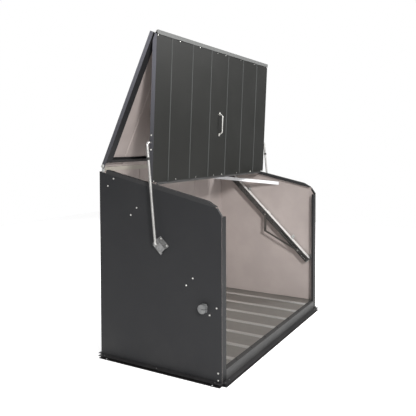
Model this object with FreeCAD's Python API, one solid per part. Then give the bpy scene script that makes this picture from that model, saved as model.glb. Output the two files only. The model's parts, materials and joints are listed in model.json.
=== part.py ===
import FreeCAD, Part
import math
import os

# Deck storage box: a sheet-steel cabinet whose roof and front door fold up together.
# Millimetres, +Z up, +X to the right, the front faces -Y, origin on the ground at the
# centre of the footprint.  The box stands open; a right-hand turn about +X closes it.

# ---- cabinet
panel_width = 1900.0          # over the outside faces of the two side panels
cabinet_depth = 1030.0        # over the outside faces of front and rear
rear_height = 1395.0          # side panel's top edge at the rear face
front_height = 1166.0         # the same sloping edge carried on to the front face
sheet = 1.2                   # panel steel
nose_cut_depth = 40.0         # bevelled top front corner of the side panel
nose_cut_height = 50.0
post_width = 60.0             # side panel's flange across the front opening
post_return = 20.0

# ---- base
rail_projection = 34.0        # base channel's flanges, out from the panels
rail_height = 22.0
rail_upstand = 60.0           # the channel's web behind the panels
rail_sheet = 1.5
anchor_hole_radius = 5.5
anchor_from_end = 65.0
above_rail = 2.0              # wall flanges above the base channel's web
base_screw_from_end = 45.0
base_corner_screws = (15.0, 70.0)
corner_screw_inset = 29.0
corner_screw_rise = 22.0
corner_screw_drop = 8.0
sill_top = 92.0
sill_depth = 38.0
sill_drop = 14.0
floor_top = 86.0
floor_sheet = 0.8
floor_seam = 4.0              # pan edges that stand up at each seam
floor_skirt = 24.0
pan_width = 247.0
pan_margin = 4.0
cap_width = 34.0
cap_height = 9.0
cap_slope = 7.0
cap_flange = 5.0
bearer_width = 60.0
bearer_inset = 110.0
bearer_end_gap = 2.0

# ---- rails on top of the panels
top_rail_width = 30.0
top_rail_height = 26.5
top_rail_front = 45.0         # from the front face
top_rail_nose = 6.0           # height left at the cut-down front end
top_rail_nose_run = 72.0
top_rail_rear = 60.0
rear_rail_depth = 8.0
rear_rail_height = 57.0
rear_rail_inset = 55.0
hinge_tab_half = 20.0
hinge_tab_pitch = 620.0
corner_bracket_sheet = 3.0
corner_bracket_width = 18.0
corner_bracket_ends = (1.0, 2.0)
corner_tail = 16.0
corner_tail_start = 4.0

# ---- roof
roof_travel = 76.97           # degrees from open to closed
pivot_from_rear = 31.0
pivot_above_panel = 45.8      # square to the panel's top edge
pivot_bolt_radius = 5.0
pivot_plate = 3.0
pivot_plate_width = 20.8        # narrower than the turning roof skin leaves room for
pivot_plate_length = 105.0
pivot_plate_gap = 1.2
pivot_washer = 1.0
pivot_head_radius = 13.0
pivot_head_crown = 10.0
pivot_head_height = 6.0
pivot_nut_radius = 9.0
pivot_nut_height = 5.0
running_gap = 0.06            # radial, every turning pin
roof_skin_above = 12.6
roof_flange = 31.0
roof_lip = 63.0
roof_rear_overhang = 13.8
roof_lip_start = 34.0
roof_front_back = 17.4        # roof's front edge behind the front hinge line
roof_lip_back = 22.0
front_channel_depth = 42.6
front_channel_leg = 38.0
rear_channel_leg = 30.0
rear_channel_depth = 26.0
rear_channel_foot = 22.0
rear_channel_end_gap = 2.0
hinge_line_forward = 30.0     # front hinge line ahead of the cabinet, closed
hinge_line_below = 37.3       # under the roof pivot's plane
knuckle_radius = 6.0
hinge_pin_radius = 3.0
hinge_leaf_sheet = 1.5
hinge_leaf_start = 4.0
hinge_leaf_lap = 1.0
hinge_end_gap = 1.5           # hinge ends from the door's side flanges
pin_cap = 3.0

# ---- door
door_lean = 2.65              # degrees off upright when open
door_top_drop = 17.0          # skin's top edge under the hinge line
door_front = 5.0              # skin's face ahead of the hinge line
door_depth = 34.0
door_top_depth = 18.0         # flanges narrow towards the hinge
door_taper = 50.0
door_sill_gap = 24.0          # skin's bottom edge above the sill, closed
door_lip = 25.0
door_corner_cut = 52.0
seal_height = 20.0
seal_thickness = 3.0
seal_clearance = 5.0          # from the posts' returns
seal_behind = 2.0
top_channel_leg = 45.0
top_channel_gap = 2.0
bottom_channel_leg = 40.0
bottom_channel_foot = 15.0
bottom_channel_gap = 6.0
stiffener_crown = 16.0        # half widths of the door stiffener's hat
stiffener_base = 22.0
stiffener_brim = 34.0
stiffener_depth = 18.0
stiffener_end_gap = 60.0
rib_width = 58.0
rib_height = 4.0
rib_slope = 5.0
rib_pitch = 292.0
rib_count = 6
rivet_radius = 4.0
rivet_head = 1.6
rivet_edge = 8.0
rivet_crown = 0.55
rivet_first = 71.0
rivet_pitch = 290.0
rivet_count = 3
rivet_side = 15.0
band_above = 9.0              # bright hinge strip along the door's top
band_foot = 3.0
band_rivets = 7.0
handle_top = 509.0            # upper foot below the skin's top edge
handle_spacing = 178.0
handle_slant = 22.0
handle_reach = 28.0
handle_radius = 5.5
handle_bend = 12.0
handle_pad = 26.0
handle_pad_height = 2.5
handle_sink = 2.0
handle_screw_length = 8.0

# ---- arms
arm_pin_rise = 280.4          # door pin above the skin's bottom edge
arm_pin_behind = 15.3         # behind the front hinge line
arm_set_back = 243.0          # lower pivot from the middle of the pin's chord
arm_offset = 50.0             # tube's centre outside the panel
arm_radius = 9.0
arm_bend = 22.0
arm_pin_radius = 6.0
arm_pin_grip = 24.0
arm_neck = 2.0                # pins run into the tube's bend
collar_from_pin = 104.0
collar_length = 18.0
collar_radius = 12.5
nut_radius = 10.0
nut_height = 7.0
door_plate_length = 130.0
door_plate_width = 24.0
door_plate_trim = 2.0
door_plate_sheet = 3.0
plate_screw_pitch = 102.0

# ---- brackets on the outside of the side panels
bracket_size = 95.0
bracket_crown = 44.0
bracket_height = 25.0
bracket_sheet = 2.0
bracket_lower = 12.0
bracket_splay = 4.0
bracket_screw_along = 32.0
bracket_screw_across = 37.0
bush_radius = 9.5
bush_flange = 13.0
bush_flange_height = 1.5
catch_radius = 31.5
catch_height = 38.0
catch_flat = 24.0
catch_slit = 4.0
catch_base = 8.0              # solid foot under the slit
catch_from_front = 134.0
catch_z = 502.0

# ---- spring gear on the inside of the side panels
tube_half = 25.0
tube_wall = 1.5
tube_stand_off = 43.8         # tube's centre from the panel's inner face
tube_low_from_front = 66.0
tube_low_z = 487.0
tube_high_from_rear = 90.0
tube_high_below = 44.0
saddle_length = 26.0
saddle_half_width = 50.0
saddle_sheet = 2.0
saddle_screw_pitch = 76.0
saddle_end = 20.0             # last saddle's middle from the tube's upper end
saddle_low_pitch = 254.0
saddle_high_pitch = 291.0
block_length = 110.0
block_width = 44.0
shaft_clear = 2.0
crank_throw = 160.0
crank_angle = 270.0           # degrees, open
crank_sheet = 6.0
crank_width = 24.0
link_length = 380.0
link_sheet = 5.0
link_width = 16.0
link_eye_extra = 3.0
lug_reach = 4.0
layer_gap = 1.5
carriage_length = 40.0
carriage_gap = 0.5
carriage_lug = 5.0
slot_clear = 1.0
tube_tail = 8.0
end_slot_count = 3
end_slot_start = 10.0
end_slot_pitch = 20.0
end_slot_width = 8.0
end_slot_half = 12.0
spring_wire = 3.0
spring_radius = 18.0
spring_turns = 24
spring_seat = 2.0
plug_thickness = 12.0
brace_bar_width = 30.0
brace_bar_sheet = 3.0
brace_bar_from_front = 379.0  # front end on the side panel
brace_bar_below = 30.0        # under the panel's sloping edge
brace_bar_inward = 291.0      # heading: across, back and up for each length of the bar
brace_bar_back = 436.0
brace_bar_rise = 55.0

# ---- fasteners
screw_head_radius = 6.5
base_head_radius = 5.0
screw_head_height = 3.5
screw_radius = 2.5
screw_length = 9.0
screw_crown = 0.6
sill_head_radius = 6.0
sill_screw_length = 3.0

# ---- clearances between sheets, and how far a cut runs past what it cuts
seam_gap = 0.2
edge_gap = 0.3
wall_gap = 0.5
overrun = 1.0
merge = 0.01

half_width = panel_width / 2
half_depth = cabinet_depth / 2
inner_x = half_width - sheet
slope = math.degrees(math.atan2(rear_height - front_height, cabinet_depth))


def turn(angle):
    return (math.cos(math.radians(angle)), math.sin(math.radians(angle)))


class SideFrame:
    """Axes in the y-z plane: along a direction, and across it a quarter turn on."""

    def __init__(self, origin, angle):
        self.origin = origin
        self.angle = angle
        self.way = turn(angle)

    def at(self, along, across):
        c, s = self.way
        return (self.origin[0] + along * c - across * s,
                self.origin[1] + along * s + across * c)

    def local(self, point):
        c, s = self.way
        dy, dz = point[0] - self.origin[0], point[1] - self.origin[1]
        return (dy * c + dz * s, dz * c - dy * s)

    def point(self, x, along, across):
        y, z = self.at(along, across)
        return FreeCAD.Vector(x, y, z)


upright = SideFrame((0.0, 0.0), 0.0)


def top_edge(y):
    return front_height + (rear_height - front_height) * (y + half_depth) / cabinet_depth


def distance(p, q):
    return math.hypot(q[0] - p[0], q[1] - p[1])


def heading(p, q):
    return math.degrees(math.atan2(q[1] - p[1], q[0] - p[0]))


# ---- pivots, worked out from the closed box and opened again
closed_way = 180.0 + slope
open_way = closed_way - roof_travel
pivot_y = half_depth - pivot_from_rear
pivot_z = top_edge(pivot_y) + pivot_above_panel / math.cos(math.radians(slope))
roof_pivot = (pivot_y, pivot_z)
hinge_y_closed = -half_depth - hinge_line_forward
hinge_along = ((pivot_y - hinge_y_closed + hinge_line_below * math.sin(math.radians(slope)))
               / math.cos(math.radians(slope)))
roof = SideFrame(roof_pivot, open_way)
roof_closed = SideFrame(roof_pivot, closed_way)
hinge_open = roof.at(hinge_along, hinge_line_below)
hinge_closed = roof_closed.at(hinge_along, hinge_line_below)
door = SideFrame(hinge_open, 270.0 + door_lean)
door_closed = SideFrame(hinge_closed, 270.0)
door_bottom = hinge_closed[1] - sill_top - door_sill_gap
door_rear = door_depth - door_front
arm_pin_down = door_bottom - arm_pin_rise
pin_open = door.at(arm_pin_down, arm_pin_behind)
pin_closed = door_closed.at(arm_pin_down, arm_pin_behind)
chord = SideFrame(pin_closed, heading(pin_closed, pin_open))
arm_pivot = chord.at(distance(pin_open, pin_closed) / 2, -arm_set_back)
arm = SideFrame(arm_pivot, heading(arm_pivot, pin_open))
arm_length = distance(arm_pivot, pin_open)
arm_turn = (heading(arm_pivot, pin_closed) - heading(arm_pivot, pin_open)) % 360.0

# ---- spring gear lines
tube_low = (-half_depth + tube_low_from_front, tube_low_z)
tube = SideFrame(tube_low, heading(tube_low, arm_pivot))
tube_length = distance(tube_low, arm_pivot)
tube_high_y = half_depth - tube_high_from_rear
edge_rise = (rear_height - front_height) / cabinet_depth
reach_rear = (tube_high_y - tube_low[0]) / tube.way[0]
reach_edge = ((top_edge(tube_low[0]) - tube_high_below - tube_low_z)
              / (tube.way[1] - tube.way[0] * edge_rise))
tube_high = min(reach_rear, reach_edge)
tube_x = inner_x - tube_stand_off
block_low = tube_length - block_length / 2
block_high = tube_length + block_length / 2
crank_x = tube_x - tube_half - layer_gap - shaft_clear - crank_sheet
link_x = crank_x - layer_gap - link_sheet


# ---- shape helpers
def polygon(points):
    return Part.Face(Part.makePolygon(points + [points[0]]))


def prism(frame, outline, x0, x1):
    """A side outline, given along and across the frame, carried from x0 to x1."""
    corners = [frame.point(x0, a, b) for a, b in outline]
    return polygon(corners).extrude(FreeCAD.Vector(x1 - x0, 0, 0))


def bar(frame, a0, a1, b0, b1, x0, x1):
    return prism(frame, [(a0, b0), (a1, b0), (a1, b1), (a0, b1)], x0, x1)


def length_of(frame, profile, a0, a1):
    """A profile of x and across values, carried along the frame."""
    corners = [frame.point(x, a0, b) for x, b in profile]
    c, s = frame.way
    return polygon(corners).extrude(FreeCAD.Vector(0, (a1 - a0) * c, (a1 - a0) * s))


def rod(frame, along, across, radius, x0, x1):
    start = frame.point(min(x0, x1), along, across)
    return Part.makeCylinder(radius, abs(x1 - x0), start, FreeCAD.Vector(1, 0, 0))


def pipe_along(frame, a0, a1, across, x, radius):
    c, s = frame.way
    start = frame.point(x, a0, across)
    return Part.makeCylinder(radius, a1 - a0, start, FreeCAD.Vector(0, c, s))


def square_along(frame, a0, a1, x, half):
    return bar(frame, a0, a1, -half, half, x - half, x + half)


def folded(points, thickness):
    """Outline of a bent sheet: the line of one face, the other face to its left."""
    normals = []
    for (ax, ay), (bx, by) in zip(points, points[1:]):
        run = math.hypot(bx - ax, by - ay)
        normals.append((-(by - ay) / run, (bx - ax) / run))
    other = []
    for i, (px, py) in enumerate(points):
        before = normals[max(i - 1, 0)]
        after = normals[min(i, len(normals) - 1)]
        bisector = (before[0] + after[0], before[1] + after[1])
        scale = 2.0 / (bisector[0] ** 2 + bisector[1] ** 2)
        other.append((px + thickness * scale * bisector[0], py + thickness * scale * bisector[1]))
    return points + other[::-1]


def rounded_wire(points, bend):
    """Straight runs through the points, joined by arcs of the bend radius."""
    edges = []
    last = points[0]
    for before, corner, after in zip(points, points[1:], points[2:]):
        way_in = (before - corner).normalize()
        way_out = (after - corner).normalize()
        half_turn = (math.pi - way_in.getAngle(way_out)) / 2
        trim = bend * math.tan(half_turn)
        arc_start = corner + way_in * trim
        arc_end = corner + way_out * trim
        middle_way = (way_in + way_out).normalize()
        middle = corner + middle_way * (bend / math.cos(half_turn) - bend)
        edges.append(Part.LineSegment(last, arc_start).toShape())
        edges.append(Part.Arc(arc_start, middle, arc_end).toShape())
        last = arc_end
    edges.append(Part.LineSegment(last, points[-1]).toShape())
    return Part.Wire(edges)


def bent_rod(points, bend, radius):
    path = rounded_wire(points, bend)
    start_way = (points[1] - points[0]).normalize()
    end = Part.Wire(Part.makeCircle(radius, points[0], start_way))
    return path.makePipeShell([end], True, True)


def screw(place, way, head_radius=screw_head_radius, length=screw_length):
    """Pan head on a surface at place, its shank going the other way into the sheets."""
    head = Part.makeCone(head_radius, head_radius * screw_crown, screw_head_height, place, way)
    return head.fuse(Part.makeCylinder(screw_radius, length, place, way * -1)).removeSplitter()


def one(*shapes):
    solid = shapes[0].fuse(list(shapes[1:])) if len(shapes) > 1 else shapes[0]
    return solid.removeSplitter()


def group(shapes):
    return Part.makeCompound(list(shapes))


def mirrored(shape):
    return shape.mirror(FreeCAD.Vector(0, 0, 0), FreeCAD.Vector(1, 0, 0))


def both(shapes):
    return list(shapes) + [mirrored(s) for s in shapes]


out_x = FreeCAD.Vector(1, 0, 0)
out_up = FreeCAD.Vector(0, 0, 1)
nodes = {}


def keep(name, shape):
    nodes[name] = shape


def keep_both(name, right):
    """Two mirrored pieces of one kind, both fixed to the same body."""
    keep(name, group([right, mirrored(right)]))


def keep_pair(name, right):
    keep(name + "_right", right)
    keep(name + "_left", mirrored(right))


# ---- fastener places
def saddle_stations():
    """Along the tube line: two saddles on the spring tube, two on the brace tube."""
    far = tube_high - saddle_end
    return [0.0, saddle_low_pitch, far - saddle_high_pitch, far]


def panel_screws():
    places = []
    for station in saddle_stations():
        for side in (-0.5, 0.5):
            places.append(tube.at(station, side * saddle_screw_pitch))
    front = -half_depth + corner_screw_inset
    places.append((front, rail_upstand + corner_screw_rise))
    places.append((front, (rail_height + rail_upstand) / 2 - corner_screw_drop))
    bracket_middle = tube_length - bracket_lower
    for along in (-1, 1):
        for across in (-1, 1):
            places.append(tube.at(bracket_middle + along * bracket_screw_along,
                                  across * bracket_screw_across))
    return places


def panel_screw(place, lift=0.0):
    return screw(FreeCAD.Vector(half_width + lift, place[0], place[1]), out_x)


def side_fasteners():
    plain = [panel_screw(p) for p in panel_screws()[:-4]]
    on_bracket = [panel_screw(p, bracket_sheet) for p in panel_screws()[-4:]]
    return plain + on_bracket


def base_fasteners():
    middle = rail_projection / 2
    found = []
    for back in (base_screw_from_end, cabinet_depth / 2, cabinet_depth - base_screw_from_end):
        place = FreeCAD.Vector(half_width + middle, -half_depth + back, rail_height)
        found.append(screw(place, out_up, base_head_radius))
    for along in base_corner_screws:
        for front in (-1, 1):
            place = FreeCAD.Vector(half_width - along, front * (half_depth + middle), rail_height)
            found.append(screw(place, out_up, base_head_radius))
    return both(found)


def seam_places():
    first = -half_width + pan_margin
    count = int((panel_width - 2 * pan_margin) // pan_width)
    return [first + pan_width * (k + 1) for k in range(count)]


def sill_fasteners():
    places = [FreeCAD.Vector(x, -half_depth + sill_depth / 2, sill_top) for x in seam_places()
              if abs(x) < half_width - post_width - screw_head_radius]
    return [screw(p, out_up, sill_head_radius, sill_screw_length) for p in places]


# ---- base
def rail_solid(face, start, end, web_start, web_end, to_world):
    """One base rail: the web behind the panel and two flanges standing out from it."""
    web = to_world(face - sheet - rail_sheet, face - sheet, web_start, web_end, 0.0, rail_upstand)
    low = to_world(face - sheet, face + rail_projection, start, end, 0.0, rail_sheet)
    high = to_world(face - sheet, face + rail_projection, start, end,
                    rail_height - rail_sheet, rail_height)
    return one(web, low, high)


def box(x0, x1, y0, y1, z0, z1):
    return Part.makeBox(x1 - x0, y1 - y0, z1 - z0, FreeCAD.Vector(x0, y0, z0))


def base_rails(screws):
    def side(f0, f1, s0, s1, z0, z1):
        return box(f0, f1, s0, s1, z0, z1)

    def rear(f0, f1, s0, s1, z0, z1):
        return box(s0, s1, f0, f1, z0, z1)

    web_end = half_depth - sheet
    right = rail_solid(half_width, -half_depth, half_depth, -web_end, web_end, side)
    for y in (-half_depth + anchor_from_end, half_depth - anchor_from_end):
        start = FreeCAD.Vector(half_width + rail_projection / 2, y, 0)
        right = right.cut(Part.makeCylinder(anchor_hole_radius, rail_height, start))
    right = right.cut(group(screws))
    keep_pair("base_rail", right)
    inside = inner_x - rail_sheet
    back = rail_solid(half_depth, -inside, inside, -inside, inside, rear)
    back = one(back,
               box(-half_width, half_width, half_depth, half_depth + rail_projection, 0, rail_sheet),
               box(-half_width, half_width, half_depth, half_depth + rail_projection,
                   rail_height - rail_sheet, rail_height))
    back = back.cut(group(screws))
    keep("base_rail_rear", back)
    keep("base_rail_front", back.mirror(FreeCAD.Vector(0, 0, 0), FreeCAD.Vector(0, 1, 0)))


def front_sill(screws):
    face = -half_depth
    line = [(face, rail_height), (face, sill_top), (face + sill_depth, sill_top),
            (face + sill_depth, sill_top - sill_drop)]
    reach = half_width - post_width - wall_gap
    sill = prism(upright, folded(line, -sheet), -reach, reach)
    keep("front_sill", sill.cut(group(screws)))


def floor_pans():
    """Trays laid side by side, each edge turned up at the seam and down below it."""
    edges = [-half_width + pan_margin] + seam_places() + [inner_x - rail_sheet - wall_gap]
    front = -half_depth + sill_depth + edge_gap
    rear = half_depth - 2 * sheet - rib_height - wall_gap
    pans = []
    for left, right in zip(edges, edges[1:]):
        if left == edges[0]:
            left = -inner_x + rail_sheet + wall_gap
        top = box(left, right - seam_gap, front, rear, floor_top - floor_sheet, floor_top)
        lip = box(left, left + floor_sheet, front, rear, floor_top - floor_skirt,
                  floor_top + floor_seam)
        edge = box(right - seam_gap - floor_sheet, right - seam_gap, front, rear,
                   floor_top - floor_skirt, floor_top + floor_seam)
        pans.append(one(top, lip, edge))
    keep("floor_pans", group(pans))


def floor_caps():
    """Raised strips over the pans' standing seams."""
    front = -half_depth + sill_depth + edge_gap
    rear = half_depth - 2 * sheet - rib_height - wall_gap
    foot = floor_top + floor_sheet
    top = floor_top + cap_height
    half = cap_width / 2
    found = []
    for x in seam_places():
        line = [(x - half - cap_flange, foot), (x - half, foot), (x - half + cap_slope, top),
                (x + half - cap_slope, top), (x + half, foot), (x + half + cap_flange, foot)]
        corners = [FreeCAD.Vector(px, front, pz) for px, pz in folded(line, -floor_sheet)]
        found.append(polygon(corners).extrude(FreeCAD.Vector(0, rear - front, 0)))
    keep("floor_seam_caps", group(found))


def floor_bearers():
    reach = inner_x - rail_sheet - bearer_end_gap
    height = floor_top - floor_skirt - seam_gap
    inner = bearer_width / 2
    found = []
    for y in (-half_depth + bearer_inset, 0.0, half_depth - bearer_inset):
        line = [(y - inner, 0.0), (y - inner, height), (y + inner, height), (y + inner, 0.0)]
        found.append(prism(upright, folded(line, -rail_sheet), -reach, reach))
    keep("floor_bearers", group(found))


# ---- cabinet walls
def side_panel(screws):
    nose_y = -half_depth + nose_cut_depth
    outline = [(-half_depth, rail_height), (half_depth, rail_height),
               (half_depth, rear_height), (nose_y, top_edge(nose_y)),
               (-half_depth, top_edge(-half_depth) - nose_cut_height)]
    wall = prism(upright, outline, inner_x, half_width)
    top = front_height - nose_cut_height
    post = box(half_width - post_width, half_width, -half_depth, -half_depth + sheet,
               rail_height, top)
    inward = box(half_width - post_width, half_width - post_width + sheet,
                 -half_depth, -half_depth + post_return, rail_upstand + above_rail, top)
    shaft = rod(upright, arm_pivot[0], arm_pivot[1], bush_radius, inner_x, half_width)
    keep_pair("side_panel", one(wall, post, inward).cut(group(screws)).cut(shaft))


def rear_panel():
    top = rear_height
    profile = [(inner_x, half_depth - sheet)]
    for c in rib_centres():
        profile.append((c + rib_width / 2, half_depth - sheet))
        profile.append((c + rib_width / 2 - rib_slope, half_depth - sheet - rib_height))
        profile.append((c - rib_width / 2 + rib_slope, half_depth - sheet - rib_height))
        profile.append((c - rib_width / 2, half_depth - sheet))
    profile.append((-inner_x, half_depth - sheet))
    outline = folded(profile, -sheet)
    corners = [FreeCAD.Vector(x, y, rail_upstand + above_rail) for x, y in outline]
    wall = polygon(corners).extrude(FreeCAD.Vector(0, 0, top - rail_upstand - above_rail))
    foot = box(-inner_x, inner_x, half_depth - sheet, half_depth, rail_height,
               rail_upstand + above_rail)
    keep("rear_panel", one(wall, foot))


def rear_top_rail():
    reach = half_width - rear_rail_inset
    front = half_depth - rear_rail_depth
    line = [(half_depth, rear_height), (front, rear_height), (front, rear_height + rear_rail_height),
            (half_depth, rear_height + rear_rail_height), (half_depth, rear_height + 2 * sheet)]
    keep("rear_top_rail", prism(upright, folded(line, -sheet), -reach, reach))
    tab_top = rear_height + rear_rail_height
    tabs = [box(x - hinge_tab_half, x + hinge_tab_half, front, half_depth, tab_top, tab_top + sheet)
            for x in (-hinge_tab_pitch, 0.0, hinge_tab_pitch)]
    keep("rear_hinge_tabs", group(tabs))


def top_rail_frame():
    return SideFrame((half_depth, rear_height), closed_way)


def side_top_rail():
    """Folded rail along the panel's sloping edge, cut down at its front end."""
    edge = top_rail_frame()
    cos_slope = math.cos(math.radians(slope))
    rear = top_rail_rear / cos_slope
    front = (cabinet_depth - top_rail_front) / cos_slope
    nose = front - top_rail_nose_run
    outline = [(rear, 0.0), (front, 0.0), (front, -top_rail_nose),
               (nose, -top_rail_height), (rear, -top_rail_height)]
    solid = prism(edge, outline, half_width - top_rail_width, half_width)
    hollow = prism(edge, [(rear - overrun, overrun), (front + overrun, overrun),
                          (front + overrun, sheet - top_rail_nose), (nose, sheet - top_rail_height),
                          (rear - overrun, sheet - top_rail_height)],
                   half_width - top_rail_width + sheet, half_width - sheet)
    keep_both("side_top_rails", solid.cut(hollow))


def corner_bracket():
    """Small angle that closes the bevelled corner of panel and post."""
    low = (-half_depth, top_edge(-half_depth) - nose_cut_height)
    high_y = -half_depth + nose_cut_depth
    high = (high_y, top_edge(high_y))
    nose = SideFrame(low, heading(low, high))
    run = distance(low, high)
    start, short = corner_bracket_ends
    cap = bar(nose, start, run - short, seam_gap, corner_bracket_sheet,
              half_width - corner_bracket_width, half_width)
    tail = bar(nose, corner_tail_start, run - corner_tail, -corner_tail, seam_gap,
               inner_x - corner_bracket_sheet, inner_x - seam_gap)
    keep_both("corner_brackets", one(cap, tail.common(inside_panel_edge())))


def inside_panel_edge():
    return box(0, half_width, -half_depth + sheet + seam_gap, half_depth, 0, rear_height)


# ---- roof pivots
def roof_pivots():
    plate_outer = inner_x - pivot_plate_gap
    y, z = roof_pivot
    half = pivot_plate_width / 2
    foot = z - pivot_plate_length
    plate = one(bar(upright, y - half, y + half, foot, z, plate_outer - pivot_plate, plate_outer),
                rod(upright, y, z, half, plate_outer - pivot_plate, plate_outer))
    pad = box(plate_outer, inner_x, y - half, y + half, foot, top_edge(y - half) - pivot_washer)
    bolt = rod(upright, y, z, pivot_bolt_radius, plate_outer - pivot_plate, half_width + pivot_washer)
    keep_both("roof_pivot_brackets", one(plate, pad).cut(bolt))
    head = Part.makeCone(pivot_head_radius, pivot_head_crown, pivot_head_height,
                         FreeCAD.Vector(half_width + pivot_washer, y, z), out_x)
    nut_x = plate_outer - pivot_plate - pivot_nut_height
    inside = Part.makeCylinder(pivot_nut_radius, pivot_nut_height, FreeCAD.Vector(nut_x, y, z), out_x)
    keep("roof_pivot_bolts", group(both([one(bolt, head, inside)])))


# ---- roof
def rib_centres():
    middle = (rib_count - 1) / 2
    return [rib_pitch * (middle - k) for k in range(rib_count)]


def ribbed_profile(face, rise, lip, edge):
    """Sheet across the width with raised ribs, two side flanges and their lips."""
    line = [(half_width - lip, edge), (half_width, edge), (half_width, face)]
    for c in rib_centres():
        line.append((c + rib_width / 2, face))
        line.append((c + rib_width / 2 - rib_slope, face - rise))
        line.append((c - rib_width / 2 + rib_slope, face - rise))
        line.append((c - rib_width / 2, face))
    line += [(-half_width, face), (-half_width, edge), (-half_width + lip, edge)]
    return folded(line, -sheet)


def roof_skin():
    edge = roof_flange - roof_skin_above
    profile = ribbed_profile(-roof_skin_above, rib_height, roof_lip, edge)
    front = hinge_along - roof_front_back
    skin = length_of(roof, profile, -roof_rear_overhang, front)
    wide = half_width + overrun
    inner = half_width - sheet
    cuts = []
    for side in (-1, 1):
        x0, x1 = sorted((side * inner, side * (half_width - roof_lip - overrun)))
        cuts.append(bar(roof, -roof_rear_overhang - overrun, roof_lip_start,
                        edge - sheet - overrun, edge + overrun, x0, x1))
        cuts.append(bar(roof, front - roof_lip_back, front + overrun,
                        edge - sheet - overrun, edge + overrun, x0, x1))
    cuts.append(rod(roof, 0, 0, pivot_bolt_radius + running_gap, -wide, wide))
    keep("roof_skin", skin.cut(group(cuts)))


def roof_channels():
    front = hinge_along - roof_front_back
    under = sheet - roof_skin_above
    line = [(front - front_channel_leg, under), (front, under), (front, front_channel_depth + under)]
    channel = prism(roof, folded(line, sheet), -inner_x + edge_gap, inner_x - edge_gap)
    keep("roof_front_channel", channel)
    start = roof_lip_start
    back = [(start + rear_channel_leg, under), (start, under), (start, under + rear_channel_depth),
            (start + rear_channel_foot, under + rear_channel_depth)]
    reach = half_width - roof_lip - rear_channel_end_gap
    keep("roof_rear_channel", prism(roof, folded(back, -sheet), -reach, reach))


def roof_hinge():
    """Galvanised leaf on the roof's front edge, with the full-width knuckle and its pin."""
    front = hinge_along - roof_front_back
    top = hinge_line_below - knuckle_radius
    line = [(front, hinge_leaf_start), (front, top + hinge_leaf_lap),
            (hinge_along + hinge_leaf_lap, top + hinge_leaf_lap)]
    end = inner_x - hinge_end_gap
    reach = end - pin_cap
    leaf = prism(roof, folded(line, -hinge_leaf_sheet), -reach, reach)
    knuckle = rod(roof, hinge_along, hinge_line_below, knuckle_radius, -reach, reach)
    core = rod(roof, hinge_along, hinge_line_below, hinge_pin_radius, -end, end)
    keep("roof_hinge_leaf", one(leaf, knuckle).cut(core))
    caps = [rod(roof, hinge_along, hinge_line_below, knuckle_radius - overrun, s * reach, s * end)
            for s in (-1, 1)]
    keep("roof_hinge_pin", one(core, *caps))


# ---- door
def door_skin(holes):
    profile = ribbed_profile(-door_front, rib_height, door_lip, door_rear)
    skin = length_of(door, profile, door_top_drop, door_bottom)
    behind = sheet - door_front
    top_cut = [(door_top_drop - overrun, door_top_depth - door_front),
               (door_top_drop - overrun, door_rear + overrun),
               (door_top_drop + door_taper, door_rear + overrun),
               (door_top_drop + door_taper, door_rear - merge),
               (door_top_drop, door_top_depth - door_front)]
    low_cut = [(door_bottom + overrun, behind), (door_bottom + overrun, door_rear + overrun),
               (door_bottom - door_corner_cut, door_rear + overrun),
               (door_bottom - door_corner_cut, door_rear - sheet - merge),
               (door_bottom, behind)]
    wide = half_width + overrun
    skin = skin.cut(group([prism(door, top_cut, -wide, wide), prism(door, low_cut, -wide, wide)]))
    pin = rod(door, arm_pin_down, arm_pin_behind, arm_pin_radius + running_gap, -wide, wide)
    keep("door_skin", skin.cut(pin).cut(group(holes)))


def door_channels(holes):
    behind = sheet - door_front
    start = door_top_drop + edge_gap
    top = [(door_top_drop + top_channel_leg, behind), (start, behind),
           (start, door_top_depth - door_front - top_channel_gap)]
    keep("door_top_channel",
         prism(door, folded(top, -sheet), -inner_x + edge_gap, inner_x - edge_gap).cut(group(holes)))
    reach = half_width - post_width - seal_clearance
    edge = door_rear - bottom_channel_gap
    low = [(door_bottom - bottom_channel_leg, behind), (door_bottom, behind), (door_bottom, edge),
           (door_bottom - bottom_channel_foot, edge)]
    keep("door_bottom_channel", prism(door, folded(low, sheet), -reach, reach).cut(group(holes)))
    keep("door_seal", bar(door, door_bottom, door_bottom + seal_height, seal_behind,
                          seal_behind + seal_thickness, -reach, reach))
    hats = []
    for middle in (-rib_pitch, 0.0, rib_pitch):
        crown = behind + stiffener_depth
        hat = [(middle - stiffener_brim, behind), (middle - stiffener_base, behind),
               (middle - stiffener_crown, crown), (middle + stiffener_crown, crown),
               (middle + stiffener_base, behind), (middle + stiffener_brim, behind)]
        hats.append(length_of(door, folded(hat, sheet), door_top_drop + stiffener_end_gap,
                              door_bottom - stiffener_end_gap))
    keep("door_stiffeners", group([h.cut(group(holes)) for h in hats]))


def door_band():
    """Galvanised strip that hangs the door's skin and covers the hinge knuckle."""
    face = -door_front - rib_height
    line = [(-band_above, face), (door_top_drop + band_foot, face)]
    keep("door_hinge_band", prism(door, folded(line, -sheet), -half_width, half_width))


def rivet(x, down):
    way = door.point(0, 0, -1) - door.point(0, 0, 0)
    return Part.makeCone(rivet_radius, rivet_radius * rivet_crown, rivet_head,
                         door.point(x, down, -door_front), way)


def door_rivets():
    found = []
    for x in rivet_places():
        found.append(rivet(x, door_top_drop + band_foot + band_rivets))
        found.append(rivet(x, door_bottom - rivet_edge))
    keep("door_rivets", group(found))


def rivet_places():
    """One rivet on each flat between ribs, set off the middle, and one near each side."""
    steps = [rivet_first + k * rivet_pitch for k in range(rivet_count)]
    return [s * x for x in steps + [half_width - rivet_side] for s in (-1, 1)]


def handle_points():
    top = door_top_drop + handle_top
    bottom = top + handle_spacing
    face = -door_front - handle_sink
    out = -door_front - handle_reach
    return [(top, face), (top + handle_slant, out), (bottom - handle_slant, out), (bottom, face)]


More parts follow.
